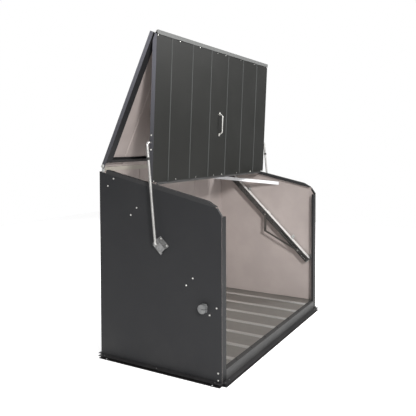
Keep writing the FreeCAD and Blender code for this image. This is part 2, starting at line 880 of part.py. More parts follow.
def pull_handle():
    points = [door.point(0, a, b) for a, b in handle_points()]
    loop = bent_rod(points, handle_bend, handle_radius)
    reach = handle_reach + handle_pad
    outer = bar(door, 0, door_bottom, -door_front - reach, -door_front, -reach, reach)
    pads = []
    for end in (handle_points()[0], handle_points()[-1]):
        centre = door.point(0, end[0], -door_front)
        way = door.point(0, 0, -1) - door.point(0, 0, 0)
        pads.append(Part.makeCylinder(handle_pad / 2, handle_pad_height, centre, way))
    keep("pull_handle", one(loop.common(outer), *pads).cut(group(handle_screws())))
    keep("handle_screws", group(handle_screws()))


def handle_screws():
    """Screws driven from inside the door into the two ends of the pull."""
    way = door.point(0, 0, 1) - door.point(0, 0, 0)
    found = []
    for end in (handle_points()[0], handle_points()[-1]):
        place = door.point(0, end[0], sheet - door_front + seam_gap)
        found.append(screw(place, way, length=handle_screw_length))
    return found


def door_fastener_places():
    return [arm_pin_down - plate_screw_pitch / 2, arm_pin_down + plate_screw_pitch / 2]


def pivot_plates(screws):
    outer = inner_x
    half = door_plate_length / 2
    plate = bar(door, arm_pin_down - half, arm_pin_down + half, arm_pin_behind - door_plate_width / 2,
                arm_pin_behind + door_plate_width / 2 - door_plate_trim,
                outer - door_plate_sheet, outer)
    hole = rod(door, arm_pin_down, arm_pin_behind, arm_pin_radius + running_gap, 0, half_width)
    keep_both("pivot_plates", plate.cut(hole).cut(group(screws)))


def plate_screws():
    return [screw(door.point(half_width, down, arm_pin_behind), out_x)
            for down in door_fastener_places()]


# ---- arms
def arm_tube():
    """Bent tube outside the panel, reduced to a pin at each end."""
    x = half_width + arm_offset
    knee = x - arm_bend
    points = [arm.point(knee - merge, 0, 0), arm.point(x, 0, 0), arm.point(x, arm_length, 0),
              arm.point(knee - merge, arm_length, 0)]
    tube_solid = bent_rod(points, arm_bend, arm_radius)
    lower = rod(arm, 0, 0, arm_pin_radius, crank_x, knee + arm_neck)
    upper = rod(arm, arm_length, 0, arm_pin_radius, half_width - arm_pin_grip - nut_height,
                knee + arm_neck)
    keep_pair("arm_tube", one(tube_solid, lower, upper))


def collar_and_nuts():
    x = half_width + arm_offset
    top = arm_length - collar_from_pin
    sleeve = pipe_along(arm, top - collar_length, top, 0, x, collar_radius)
    sleeve = sleeve.cut(pipe_along(arm, 0, arm_length, 0, x, arm_radius))
    keep_pair("arm_collar", sleeve)
    inner = half_width - arm_pin_grip
    nut = rod(arm, arm_length, 0, nut_radius, inner - nut_height, inner)
    keep_pair("arm_nut", nut.cut(rod(arm, arm_length, 0, arm_pin_radius, 0, half_width)))


def crank_arm():
    """Lever on the inner end of the arm's shaft."""
    lever = SideFrame(arm_pivot, crank_angle)
    half = crank_width / 2
    plate = one(bar(lever, 0, crank_throw, -half, half, crank_x, crank_x + crank_sheet),
                rod(lever, 0, 0, half, crank_x, crank_x + crank_sheet),
                rod(lever, crank_throw, 0, half, crank_x, crank_x + crank_sheet))
    keep_pair("crank_arm", plate.cut(rod(lever, 0, 0, arm_pin_radius, 0, half_width)))


def crank_pin_open():
    return SideFrame(arm_pivot, crank_angle).at(crank_throw, 0)


def carriage_station(crank_point):
    """Where on the tube line the link's lower pin stands for a place of the crank's pin."""
    along, across = tube.local(crank_point)
    return along - math.sqrt(link_length ** 2 - across ** 2)


def link_and_carriage():
    pin = crank_pin_open()
    station = carriage_station(pin)
    foot = tube.at(station, 0)
    link = SideFrame(foot, heading(foot, pin))
    half = link_width / 2
    bar_solid = one(bar(link, 0, link_length, -half, half, link_x, link_x + link_sheet),
                    rod(link, 0, 0, half, link_x, link_x + link_sheet),
                    rod(link, link_length, 0, half + link_eye_extra, link_x, link_x + link_sheet))
    hole = rod(link, 0, 0, carriage_lug + running_gap, 0, half_width)
    eye = rod(link, link_length, 0, arm_pin_radius, 0, half_width)
    keep_pair("spring_link", bar_solid.cut(hole).cut(eye))
    inner = tube_half - tube_wall - carriage_gap
    body = square_along(tube, station - carriage_length / 2, station + carriage_length / 2,
                        tube_x, inner)
    lug = rod(tube, station, 0, carriage_lug, link_x - lug_reach, tube_x)
    keep_pair("spring_carriage", one(body, lug))


# ---- spring gear fixed to the panels
def tubes():
    first = carriage_station(crank_pin_open())
    lever_closed = SideFrame(arm_pivot, crank_angle + arm_turn)
    last = carriage_station(lever_closed.at(crank_throw, 0))
    low = -tube_tail
    shell = square_along(tube, low, block_low, tube_x, tube_half)
    bore = square_along(tube, low - overrun, block_low + overrun, tube_x, tube_half - tube_wall)
    slot = bar(tube, first - carriage_lug - slot_clear, last + carriage_lug + slot_clear,
               -carriage_lug - slot_clear, carriage_lug + slot_clear, tube_x - tube_half - overrun, tube_x)
    lower = shell.cut(bore).cut(slot)
    for k in range(end_slot_count):
        start = low + plug_thickness + end_slot_start + k * end_slot_pitch
        lower = lower.cut(bar(tube, start, start + end_slot_width, -end_slot_half, end_slot_half,
                              tube_x - tube_half - overrun, tube_x))
    keep_both("spring_tubes", lower)
    upper = square_along(tube, block_high, tube_high, tube_x, tube_half)
    upper = upper.cut(square_along(tube, block_high - overrun, tube_high + overrun, tube_x,
                                   tube_half - tube_wall))
    keep_both("brace_tubes", upper)
    inner = tube_half - tube_wall
    plugs = [square_along(tube, low, low + plug_thickness, tube_x, inner),
             square_along(tube, tube_high - plug_thickness, tube_high, tube_x, inner)]
    keep("tube_end_plugs", group(both(plugs)))
    half = block_width / 2
    stem = bar(tube, tube_length - half, tube_length + half, -half, half, tube_x, inner_x)
    block = one(square_along(tube, block_low, block_high, tube_x, tube_half), stem)
    shaft = rod(arm, 0, 0, arm_pin_radius + running_gap, 0, half_width)
    keep_both("shaft_blocks", block.cut(shaft))
    spring_start = last + carriage_length / 2 + spring_seat
    keep_both("assist_springs", coil(spring_start, block_low - spring_seat / 2))


def coil(start, end):
    """Compression spring inside the tube, drawn at its closed-lid length."""
    wire = spring_wire / 2
    run = end - start - 2 * wire
    helix = Part.makeHelix(run / spring_turns, run, spring_radius)
    ring = Part.Wire(Part.makeCircle(wire, FreeCAD.Vector(spring_radius, 0, 0),
                                     FreeCAD.Vector(0, 1, 0)))
    solid = Part.Wire(helix).makePipeShell([ring], True, True)
    c, s = tube.way
    way = FreeCAD.Vector(0, c, s)
    solid.Placement = FreeCAD.Placement(tube.point(tube_x, start + wire, 0),
                                        FreeCAD.Rotation(out_up, way))
    return solid


def saddles(screws):
    found = []
    for station in saddle_stations():
        a0, a1 = station - saddle_length / 2, station + saddle_length / 2
        foot = bar(tube, a0, a1, -saddle_half_width, saddle_half_width, inner_x - saddle_sheet,
                   inner_x)
        near = tube_half + seam_gap
        cheeks = [bar(tube, a0, a1, min(s * near, s * (near + saddle_sheet)),
                      max(s * near, s * (near + saddle_sheet)), tube_x, inner_x - saddle_sheet)
                  for s in (-1, 1)]
        found.append(one(foot, *cheeks).cut(group(screws)))
    keep_both("tube_saddles", group(found))


def brace_bar():
    """Angle across the corner between side and rear panels, high in the box."""
    y = -half_depth + brace_bar_from_front
    start = FreeCAD.Vector(inner_x, y, top_edge(y) - brace_bar_below)
    way = FreeCAD.Vector(-brace_bar_inward, brace_bar_back, brace_bar_rise)
    out = FreeCAD.Vector(-brace_bar_back, -brace_bar_inward, 0).normalize()
    up = out.cross(way).normalize()
    if up.z < 0:
        up = up * -1
    wide, thin = brace_bar_width, brace_bar_sheet
    profile = [(0, 0), (0, -wide), (-thin, -wide), (-thin, -thin), (-wide, -thin), (-wide, 0)]
    corners = [start - way + out * a + up * b for a, b in profile]
    angle = polygon(corners).extrude(way * (2 + cabinet_depth / brace_bar_back))
    rear = half_depth - 2 * sheet - rib_height - wall_gap
    room = box(0, inner_x, -half_depth, rear, 0, rear_height)
    keep_both("brace_bars", angle.common(room))


def arm_bracket(screws):
    middle = tube_length - bracket_lower
    half = bracket_size / 2
    crown = bracket_crown / 2
    top = half_width + bracket_height
    line = [(half_width, -half), (half_width, -crown - bracket_splay), (top - bracket_sheet, -crown),
            (top - bracket_sheet, crown), (half_width, crown + bracket_splay), (half_width, half)]
    hat = length_of(tube, folded(line, -bracket_sheet), middle - half, middle + half)
    bush_bore = rod(arm, 0, 0, bush_radius, half_width, top)
    keep_both("arm_brackets", hat.cut(group(screws)).cut(bush_bore))
    bush = one(rod(arm, 0, 0, bush_radius, inner_x, top),
               rod(arm, 0, 0, bush_flange, top, top + bush_flange_height))
    keep_both("arm_bushes", bush.cut(rod(arm, 0, 0, arm_pin_radius + running_gap, 0,
                                       half_width + arm_offset)))


def arm_catch():
    """Plastic disc with a flat and a slit, which steadies the lowered arm."""
    y = -half_depth + catch_from_front
    disc = rod(upright, y, catch_z, catch_radius, half_width, half_width + catch_height)
    outer = half_width + catch_height + overrun
    flat = box(half_width - overrun, outer, y - catch_radius - overrun, y - catch_flat,
               catch_z - catch_radius, catch_z + catch_radius)
    slit = box(half_width + catch_base, outer, y - catch_radius - overrun, y - catch_slit,
               catch_z - catch_slit / 2, catch_z + catch_slit / 2)
    keep_both("arm_catches", disc.cut(flat).cut(slit))


def build():
    side_screws = side_fasteners()
    base_screws = base_fasteners()
    sill_screws = sill_fasteners()
    side_plate_screws = plate_screws()
    base_rails(base_screws + both(side_screws))
    front_sill(sill_screws)
    floor_pans()
    floor_caps()
    floor_bearers()
    side_panel(side_screws)
    rear_panel()
    rear_top_rail()
    side_top_rail()
    corner_bracket()
    roof_pivots()
    tubes()
    saddles(side_screws)
    brace_bar()
    arm_bracket(side_screws)
    arm_catch()
    keep("panel_screws", group(both(side_screws)))
    keep("base_screws", group(base_screws))
    keep("sill_screws", group(sill_screws))
    roof_skin()
    roof_channels()
    roof_hinge()
    door_holes = both(side_plate_screws) + handle_screws()
    door_skin(door_holes)
    door_channels(door_holes)
    door_band()
    door_rivets()
    pull_handle()
    pivot_plates(side_plate_screws)
    keep("plate_screws", group(both(side_plate_screws)))
    arm_tube()
    collar_and_nuts()
    crank_arm()
    link_and_carriage()


def write():
    os.makedirs("parts", exist_ok=True)
    for name, shape in nodes.items():
        shape.exportStep("parts/" + name + ".step")
    print(len(nodes), "nodes")
    print("roof pivot", roof_pivot, "travel", roof_travel)
    print("front hinge", hinge_open, "closed", hinge_closed)
    print("arm pivot", arm_pivot, "length", arm_length, "turn", arm_turn)
    print("door pin", pin_open, "closed", pin_closed, "door bottom", door_bottom)


build()
write()
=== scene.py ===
import bpy
import bmesh
import json
import math
from mathutils import Matrix, Vector


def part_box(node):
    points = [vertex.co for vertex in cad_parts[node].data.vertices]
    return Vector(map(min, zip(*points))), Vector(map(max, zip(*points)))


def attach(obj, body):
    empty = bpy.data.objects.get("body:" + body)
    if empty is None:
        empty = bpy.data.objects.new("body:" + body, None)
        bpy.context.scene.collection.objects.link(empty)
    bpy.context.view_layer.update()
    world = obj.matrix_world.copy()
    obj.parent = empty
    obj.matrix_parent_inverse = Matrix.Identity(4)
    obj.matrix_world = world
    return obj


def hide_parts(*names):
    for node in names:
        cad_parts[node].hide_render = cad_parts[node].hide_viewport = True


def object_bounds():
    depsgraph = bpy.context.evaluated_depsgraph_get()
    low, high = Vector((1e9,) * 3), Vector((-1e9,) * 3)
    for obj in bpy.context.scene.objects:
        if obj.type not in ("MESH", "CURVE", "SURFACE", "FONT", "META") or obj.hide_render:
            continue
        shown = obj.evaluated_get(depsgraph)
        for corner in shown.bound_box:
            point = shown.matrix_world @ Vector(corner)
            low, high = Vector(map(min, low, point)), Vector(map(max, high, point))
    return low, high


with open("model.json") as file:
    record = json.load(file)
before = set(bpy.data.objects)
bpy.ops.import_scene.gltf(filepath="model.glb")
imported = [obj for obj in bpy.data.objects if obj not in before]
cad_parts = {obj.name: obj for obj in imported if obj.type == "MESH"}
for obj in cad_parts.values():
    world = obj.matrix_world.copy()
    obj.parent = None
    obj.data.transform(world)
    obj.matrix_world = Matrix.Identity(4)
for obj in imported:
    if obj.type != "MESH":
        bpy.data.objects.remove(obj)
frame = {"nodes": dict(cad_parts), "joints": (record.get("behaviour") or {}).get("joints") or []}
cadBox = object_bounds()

# Deck storage box with its lid up: looks for every sheet-steel piece, fixing and fitting.
# Metres, +Z up, the front faces -Y.

nodes = frame["nodes"]
joints = {j["name"]: j for j in frame["joints"]}
roofPivot = Vector(joints["roof_hinge"]["pos_m"])
doorPin = Vector(joints["door_pivot"]["pos_m"])
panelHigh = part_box("side_panel_right")[1]
hingeLow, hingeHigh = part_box("roof_hinge_pin")
frontHinge = (hingeLow + hingeHigh) / 2

# how the open roof and door lie, for the masks below
stance = {
    "hingeBelow": 0.0373,                # front hinge line under the roof pivot's plane
    "doorLean": math.radians(2.65),      # off upright
}
roofSpan = frontHinge - roofPivot
roofTilt = math.asin(stance["hingeBelow"] / roofSpan.length)
roofWay = (Matrix.Rotation(-roofTilt, 3, "X") @ roofSpan).normalized()
roofOut = Vector((0, roofWay.z, -roofWay.y))
doorOut = Vector((0, -math.cos(stance["doorLean"]), -math.sin(stance["doorLean"])))
tubeLow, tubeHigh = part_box("spring_tubes")
tubeWay = Vector((0, tubeHigh.y - tubeLow.y, tubeHigh.z - tubeLow.z)).normalized()
tubeTop = (0, -tubeWay.z, tubeWay.y)
print("frame loaded", len(nodes), "nodes")


# shader helpers
class Sock:                              # a node socket that takes Python arithmetic
    def __init__(self, mat, socket):
        self.mat = mat
        self.socket = socket

    def math(self, operation, *values):
        return self.mat.node("ShaderNodeMath", {"operation": operation},
                             dict(enumerate((self,) + values)))

    def __add__(self, other):
        return self.math("ADD", other)

    def __sub__(self, other):
        return self.math("SUBTRACT", other)

    def __mul__(self, other):
        return self.math("MULTIPLY", other)

    def __rsub__(self, other):
        return self.mat.node("ShaderNodeMath", {"operation": "SUBTRACT"}, {0: other, 1: self})

    def __gt__(self, other):
        return self.math("GREATER_THAN", other)

    def __lt__(self, other):
        return self.math("LESS_THAN", other)

    __radd__ = __add__

    def abs(self):
        return self.math("ABSOLUTE")

    def between(self, low, high):        # 0 below low, 1 above high, smooth between
        return self.mat.node("ShaderNodeMapRange", {"interpolation_type": "SMOOTHSTEP"},
                             {"Value": self, "From Min": low, "From Max": high})


class Mat:
    def __init__(self, name):
        self.material = bpy.data.materials.new(name)
        self.material.use_nodes = True
        self.tree = self.material.node_tree
        self.shader = self.tree.nodes["Principled BSDF"]
        self.coords = self.tree.nodes.new("ShaderNodeTexCoord")

    def node(self, kind, settings, inputs, output=0):
        made = self.tree.nodes.new(kind)
        for key, value in settings.items():
            setattr(made, key, value)
        for key, value in inputs.items():
            self.join(made.inputs[key], value)
        return Sock(self, made.outputs[output])

    def join(self, socket, value):
        if isinstance(value, Sock):
            self.tree.links.new(value.socket, socket)
        elif isinstance(value, tuple) and len(value) == 3 and len(socket.default_value) == 4:
            socket.default_value = (*value, 1)
        else:
            socket.default_value = value

    def set(self, **values):             # baseColor fills the shader's Base Color
        for key, value in values.items():
            name = "".join(" " + c if c.isupper() else c for c in key).title()
            self.join(self.shader.inputs[name], value)

    def point(self):
        return Sock(self, self.coords.outputs["Object"])

    def axes(self):
        split = self.node("ShaderNodeSeparateXYZ", {}, {0: self.point()}).socket.node
        return [Sock(self, output) for output in split.outputs]

    def along(self, way, start):         # distance from start, measured along way
        x, y, z = self.axes()
        return x * way.x + y * way.y + z * way.z - start.dot(way)

    def facing(self, way):               # how far the surface faces a direction
        return self.node("ShaderNodeVectorMath", {"operation": "DOT_PRODUCT"},
                         {0: Sock(self, self.coords.outputs["Normal"]), 1: tuple(way)},
                         output="Value")

    def noise(self, scale, detail, roughness, stretch=(1, 1, 1)):
        place = self.node("ShaderNodeMapping", {}, {"Vector": self.point(), "Scale": stretch})
        return self.node("ShaderNodeTexNoise", {},
                         {"Vector": place, "Scale": scale,
                          "Detail": detail, "Roughness": roughness})

    def crystals(self, scale):           # one even random tone for each crystal
        cells = self.node("ShaderNodeTexVoronoi", {},
                          {"Vector": self.point(), "Scale": scale}, output="Color")
        return self.node("ShaderNodeSeparateColor", {}, {0: cells})

    def mix(self, factor, first, second):
        return self.node("ShaderNodeMix", {"data_type": "RGBA"},
                         {0: factor, 6: first, 7: second}, output=2)

    def bump(self, height, depth, strength, edge=None):
        inputs = {"Height": height, "Distance": depth, "Strength": strength}
        if edge is not None:             # edges rounded off to this radius
            inputs["Normal"] = self.node("ShaderNodeBevel", {"samples": bevelSamples},
                                         {"Radius": edge})
        return self.node("ShaderNodeBump", {}, inputs)


bevelSamples = 6


def shaded(colour, share):
    return tuple(c * share for c in colour)


# Finishes. A noise is given as its scale per metre, detail, roughness and, for some, stretch.
# A band is the pair of values between which a mask rises, and a share is how much it counts.
paint = {
    "outside": (0.020, 0.0203, 0.022),       # anthracite powder coat
    # darker copy of the anthracite coat for the door face: painted shade
    "doorFace": (0.0080, 0.0082, 0.0072),
    "inside": (0.40, 0.352, 0.335),          # warm light grey back of the coated sheet
    "post": (0.006, 0.006, 0.0065),          # painted shade on the front-facing posts
    "flange": (0.12, 0.12, 0.138),           # painted bluish highlight on the outward-facing folded edges
    "ribLeftHighlight": (0.050, 0.053, 0.052),        # painted highlight on the left slopes of the pressed ribs
    # painted shade on the right slopes of the pressed ribs
    "ribRightShade": (0.019, 0.020, 0.019),
    "base": (0.026, 0.025, 0.026),
    "rail": (0.030, 0.030, 0.031),
    "beige": (0.40, 0.375, 0.33),
    "band": (0.11, 0.112, 0.11),
    "sill": (0.040, 0.040, 0.040),
    "rough": 0.42,
    "peel": (950.0, 1, 0.4),                 # powder coat texture
    "peelDepth": 0.00012,
    "peelStrength": 0.5,
    "edge": 0.0012,
    "gloss": 0.18,
}

wear = {
    "cloud": (3.2, 4, 0.55),
    "cloudBand": (0.35, 0.8),
    "cloudShare": 0.05,
    "cloudRough": 0.12,
    "fleck": (420.0, 2, 0.6),                # fine metal fleck in the coat
    "fleckBand": (0.55, 0.72),
    "fleckShare": 0.10,
    "fleckRough": 0.05,
    "haze": (0.07, 0.07, 0.068),
    "dust": (0.2, 0.19, 0.175),
    "dustTop": 0.35,                         # height where the dust has faded out
    "dustBand": (0.35, 0.75),
    "dustShare": 0.05,
    "insideCloud": (5.0, 3, 0.5),
    "insideBand": (0.3, 0.7),
    "insideFade": 0.92,
    "insideRough": 0.10,
}


def coated(mat, colour, inner=None):         # inner masks the light back of the sheet
    height = mat.axes()[2]
    cloud = mat.noise(*wear["cloud"])
    fleck = mat.noise(*wear["fleck"])
    dust = (1 - height.between(0.0, wear["dustTop"])) * cloud.between(*wear["dustBand"])
    base = mat.mix(fleck.between(*wear["fleckBand"]) * wear["fleckShare"], colour, wear["haze"])
    base = mat.mix(cloud.between(*wear["cloudBand"]) * wear["cloudShare"], base, wear["haze"])
    base = mat.mix(dust * wear["dustShare"], base, wear["dust"])
    rough = paint["rough"] + cloud * wear["cloudRough"] + fleck * wear["fleckRough"]
    if inner is not None:
        patch = mat.noise(*wear["insideCloud"]).between(*wear["insideBand"])
        warm = mat.mix(patch, paint["inside"], shaded(paint["inside"], wear["insideFade"]))
        base = mat.mix(inner, base, warm)
        rough = rough + inner * wear["insideRough"]
    peel = mat.noise(*paint["peel"])
    normal = mat.bump(peel, paint["peelDepth"], paint["peelStrength"], paint["edge"])
    mat.set(baseColor=base, roughness=rough, normal=normal)
    mat.shader.inputs["Specular IOR Level"].default_value = paint["gloss"]
    return mat.material


# where a mask starts: lengths in from the panel's outside face, and cosines
masks = {
    "sheetFrom": 0.0016,
    "sheetTo": 0.0006,
    "post": 0.5,
    "rearInside": 0.3,
    "shellBack": -0.3,
    "shellInward": -0.5,
    "shellOutward": 0.6,
    "doorBehind": -0.010,                    # along the way out, from the front hinge
    "roofBehind": 0.0,                       # the same, from the roof pivot
    "flangeSheenLow": 0.35,                        # painted highlight on the outward flanges at the panels' top, and what is added to it by the top of the open roof
    "flangeSheenRise": 0.65,                       # to it by the top of the open roof
    "slopeFrom": 0.4,
    "slopeTo": 0.9,
}


def sidePanelCoat():
    mat = Mat("sidePanelCoat")
    reach = mat.axes()[0].abs()
    inner = ((reach > panelHigh.x - masks["sheetFrom"])
             * (reach < panelHigh.x - masks["sheetTo"]))
    # front-facing faces of the side panels get the darker post colour: painted shade
    post = mat.facing((0, -1, 0)) > masks["post"]
    return coated(mat, mat.mix(post, paint["outside"], paint["post"]), inner)


def rearPanelCoat():
    mat = Mat("rearPanelCoat")
    return coated(mat, paint["outside"], mat.facing((0, -1, 0)) > masks["rearInside"])


# door and roof: dark outside and on the lips, light only on the sheet's inner side; painted
# highlight on the outward side flanges and on the left rib slopes, painted shade on the right
# rib slopes
def shellCoat(name, colour, outward, start, behind):
    mat = Mat(name)
    axes = mat.axes()
    across = mat.facing((1, 0, 0))
    outer = across * axes[0]
    back = (mat.facing(outward) < masks["shellBack"]) * (mat.along(outward, start) > behind)
    inner = back.math("MAXIMUM", outer < masks["shellInward"])
    # height ramp up to the top of the open roof; outward side flanges get a painted highlight
    # that grows with it
    bloomAndFlangeSheen = axes[2].between(panelHigh.z, cadBox[1].z)
    flange = ((outer > masks["shellOutward"])
              * (masks["flangeSheenLow"] + bloomAndFlangeSheen * masks["flangeSheenRise"]))
    # rib slopes: painted highlight where they face left, painted shade where they face right
    slope = (across.abs() > masks["slopeFrom"]) * (across.abs() < masks["slopeTo"])
    face = mat.mix(slope * (across < 0), colour, paint["ribLeftHighlight"])
    face = mat.mix(slope * (across > 0), face, paint["ribRightShade"])
    face = mat.mix(flange, face, paint["flange"])
    return coated(mat, face, inner)


# hot-dip zinc: crystal spangle in tone and gloss, with a faint white bloom
zinc = {
    "sheet": (0.46, 0.465, 0.46),
    "bright": (0.62, 0.62, 0.61),
    "outerBracket": (0.24, 0.24, 0.24),
    "tube": (0.10, 0.10, 0.098),
    "tubeLit": (0.88, 0.88, 0.86),           # painted highlight on the upper faces of the slanting tubes
    "tubeGloss": 0.22,
    # corner bar kept lighter and bluer than the plain sheet: painted light
    "brace": (0.62, 0.63, 0.64),
    "braceLit": (0.80, 0.81, 0.83),          # painted highlight on the face of the corner bar that looks forward
    "braceWay": (-0.83, -0.55, 0),
    "braceGloss": 0.38,
    "gloss": 0.34,
    "crystals": 95.0,
    "darkest": 0.80,
    "lightest": 1.22,
    "bloomAndFlangeSheen": (9.0, 5, 0.6),
    "bloomBand": (0.5, 0.8),
    "bloomShare": 0.4,
    "bloomTone": 1.1,
    "metal": 0.75,
    "litBand": (0.3, 0.6),
    "litDrop": 0.65,                         # metal taken off the face with the painted highlight
    "toneRough": 0.16,
    "bloomRoughBand": (0.4, 0.7),
    "bloomRough": 0.12,
    "grain": (260.0, 3, 0.5),
    "toneHeight": 0.4,
    "depth": 0.00010,
    "strength": 0.5,
    "edge": 0.0008,
}


def galvanised(name, colour, gloss=zinc["gloss"], litWay=None, litColour=None):
    mat = Mat(name)
    tone = mat.crystals(zinc["crystals"])
    bloomAndFlangeSheen = mat.noise(*zinc["bloomAndFlangeSheen"])
    base = mat.mix(tone, shaded(colour, zinc["darkest"]), shaded(colour, zinc["lightest"]))
    base = mat.mix(bloomAndFlangeSheen.between(*zinc["bloomBand"]) * zinc["bloomShare"], base,
                   shaded(colour, zinc["bloomTone"]))
    metal = zinc["metal"]
    # faces towards litWay get litColour and less metal: a painted highlight
    if litWay is not None:
        lit = mat.facing(litWay).between(*zinc["litBand"])
        base = mat.mix(lit, base, litColour)
        metal = metal - lit * zinc["litDrop"]
    rough = (gloss + tone * zinc["toneRough"]
             + bloomAndFlangeSheen.between(*zinc["bloomRoughBand"]) * zinc["bloomRough"])
    relief = mat.noise(*zinc["grain"]) + tone * zinc["toneHeight"]
    mat.set(baseColor=base, metallic=metal, roughness=rough,
            normal=mat.bump(relief, zinc["depth"], zinc["strength"], zinc["edge"]))
    return mat.material


# bright plated steel: drawn streaks and soft dulling
plate = {
    "floorSheet": (0.34, 0.34, 0.32),
    # seam caps kept lighter than the floor pans: painted highlight
    "floorSeam": (0.66, 0.66, 0.64),
    "dulledScrews": (0.16, 0.16, 0.16),
    "leverSteel": (0.16, 0.158, 0.15),
    "zincFittings": (0.66, 0.655, 0.63),
    "armTube": (0.50, 0.495, 0.48),
    "pullSteel": (0.74, 0.73, 0.70),
    "darkScrews": (0.03, 0.03, 0.03),
    "streak": (38.0, 4, 0.6, (6, 6, 0.5)),
    "streakBand": (0.3, 0.7),
    "streakFade": 0.86,
    "streakRough": 0.08,
    "dull": (14.0, 3, 0.5),
    "dullRough": 0.2,
    "rough": 0.22,
    "metal": 0.85,
    "depth": 0.00006,
    "strength": 0.4,
}


def plated(name):
    mat = Mat(name)
    colour = plate[name]
    streak = mat.noise(*plate["streak"])
    dull = mat.noise(*plate["dull"])
    base = mat.mix(streak.between(*plate["streakBand"]), shaded(colour, plate["streakFade"]),
                   colour)
    rough = plate["rough"] + dull * plate["dullRough"] + streak * plate["streakRough"]
    mat.set(baseColor=base, metallic=plate["metal"], roughness=rough,
            normal=mat.bump(streak, plate["depth"], plate["strength"]))
    return mat.material


rubber = {
    "dark": (0.014, 0.014, 0.014),
    "light": (0.034, 0.033, 0.032),
    "dull": (22.0, 3, 0.5),
    "rough": 0.6,
    "dullRough": 0.2,
    "grain": (700.0, 2, 0.5),
    "depth": 0.00015,
    "strength": 0.5,
}


def blackRubber():
    mat = Mat("blackRubber")
    dull = mat.noise(*rubber["dull"])
    grain = mat.noise(*rubber["grain"])
    mat.set(baseColor=mat.mix(dull, rubber["dark"], rubber["light"]),
            roughness=rubber["rough"] + dull * rubber["dullRough"],
            normal=mat.bump(grain, rubber["depth"], rubber["strength"]))
    return mat.material


plastic = {
    "dark": (0.115, 0.118, 0.12),
    "light": (0.15, 0.152, 0.152),
    "dull": (30.0, 3, 0.5),
    "dullBand": (0.35, 0.65),
    "rough": 0.38,
    "dullRough": 0.15,
    "grain": (520.0, 2, 0.5),
    "depth": 0.00010,
    "strength": 0.45,
    "edge": 0.001,
}


def greyMoulding():
    mat = Mat("greyMoulding")
    dull = mat.noise(*plastic["dull"])
    grain = mat.noise(*plastic["grain"])
    base = mat.mix(dull.between(*plastic["dullBand"]), plastic["dark"], plastic["light"])
    mat.set(baseColor=base, roughness=plastic["rough"] + dull * plastic["dullRough"],
            normal=mat.bump(grain, plastic["depth"], plastic["strength"], plastic["edge"]))
    return mat.material


finishes = {
    "sidePanel": sidePanelCoat(),
    "rearPanel": rearPanelCoat(),
    "door": shellCoat("doorCoat", paint["doorFace"], doorOut, frontHinge, masks["doorBehind"]),
    "roof": shellCoat("roofCoat", paint["outside"], roofOut, roofPivot, masks["roofBehind"]),
    "base": coated(Mat("baseChannelCoat"), paint["base"]),
    "rail": coated(Mat("topRailCoat"), paint["rail"]),
    "beige": coated(Mat("rearRailCoat"), paint["beige"]),
    "band": coated(Mat("hingeBandFinish"), paint["band"]),
    "sill": coated(Mat("sillCoat"), paint["sill"]),
    "galvanised": galvanised("galvanisedSheet", zinc["sheet"]),
    "bright": galvanised("brightBracket", zinc["bright"]),
    "outerBracket": galvanised("outerBracket", zinc["outerBracket"]),
    "springTube": galvanised("springTubeSheet", zinc["tube"], zinc["tubeGloss"],
                             tubeTop, zinc["tubeLit"]),
    "braceAngle": galvanised("braceAngleSheet", zinc["brace"], zinc["braceGloss"],
                             zinc["braceWay"], zinc["braceLit"]),
    "floor": plated("floorSheet"),
    "seam": plated("floorSeam"),
    "dull": plated("dulledScrews"),
    "lever": plated("leverSteel"),
    "zinc": plated("zincFittings"),
    "arm": plated("armTube"),
    "pull": plated("pullSteel"),
    "darkScrew": plated("darkScrews"),
    "rubber": blackRubber(),
    "plastic": greyMoulding(),
}

finishOf = {
    "side_panel_left": "sidePanel", "side_panel_right": "sidePanel", "rear_panel": "rearPanel",
    "door_skin": "door", "roof_skin": "roof", "rear_top_rail": "beige",
    "base_rail_left": "base", "base_rail_right": "base", "base_rail_front": "base",
    "base_rail_rear": "base", "side_top_rails": "rail", "floor_pans": "floor",
    "floor_seam_caps": "seam", "roof_rear_channel": "rail",
    "front_sill": "sill", "floor_bearers": "floor", "door_hinge_band": "band",
    "arm_brackets": "outerBracket", "corner_brackets": "rail",
    "pull_handle": "pull", "arm_tube_left": "arm", "arm_tube_right": "arm",
    "crank_arm_left": "lever", "crank_arm_right": "lever",
    "spring_link_left": "lever", "spring_link_right": "lever", "arm_nut_left": "zinc",
    "arm_nut_right": "zinc", "roof_hinge_pin": "zinc", "roof_pivot_bolts": "zinc",
    "rear_hinge_tabs": "bright", "door_seal": "rubber", "tube_end_plugs": "rubber",
    "arm_collar_left": "rubber", "arm_collar_right": "rubber", "arm_catches": "plastic",
    "arm_bushes": "plastic", "sill_screws": "darkScrew", "spring_tubes": "springTube",
    "brace_tubes": "springTube", "shaft_blocks": "springTube", "brace_bars": "braceAngle",
}

for name, node in nodes.items():
    node.data.materials.clear()
    usual = "zinc" if "screw" in name or "rivet" in name else "galvanised"
    node.data.materials.append(finishes[finishOf.get(name, usual)])
print("finishes set")


# camera, lights, floor
view = {
    "place": (-4.0092, -2.1612, 1.5899),
    "pan": -60.268,
    "tilt": -1.905,
    "roll": -0.208,
    "lens": 46.40,
    "sensor": 36.0,
    "shiftY": -0.1093,
    "farthest": 100.0,
}


def addCamera():
    camera = bpy.data.objects.new("camera", bpy.data.cameras.new("camera"))
    bpy.context.scene.collection.objects.link(camera)
    turn = (Matrix.Rotation(math.radians(view["pan"]), 4, "Z")
            @ Matrix.Rotation(math.radians(90 + view["tilt"]), 4, "X")
            @ Matrix.Rotation(math.radians(view["roll"]), 4, "Z"))
    camera.matrix_world = Matrix.Translation(view["place"]) @ turn
    camera.data.lens = view["lens"]
    camera.data.sensor_width = view["sensor"]
    camera.data.shift_y = view["shiftY"]
    camera.data.clip_end = view["farthest"]
    bpy.context.scene.camera = camera


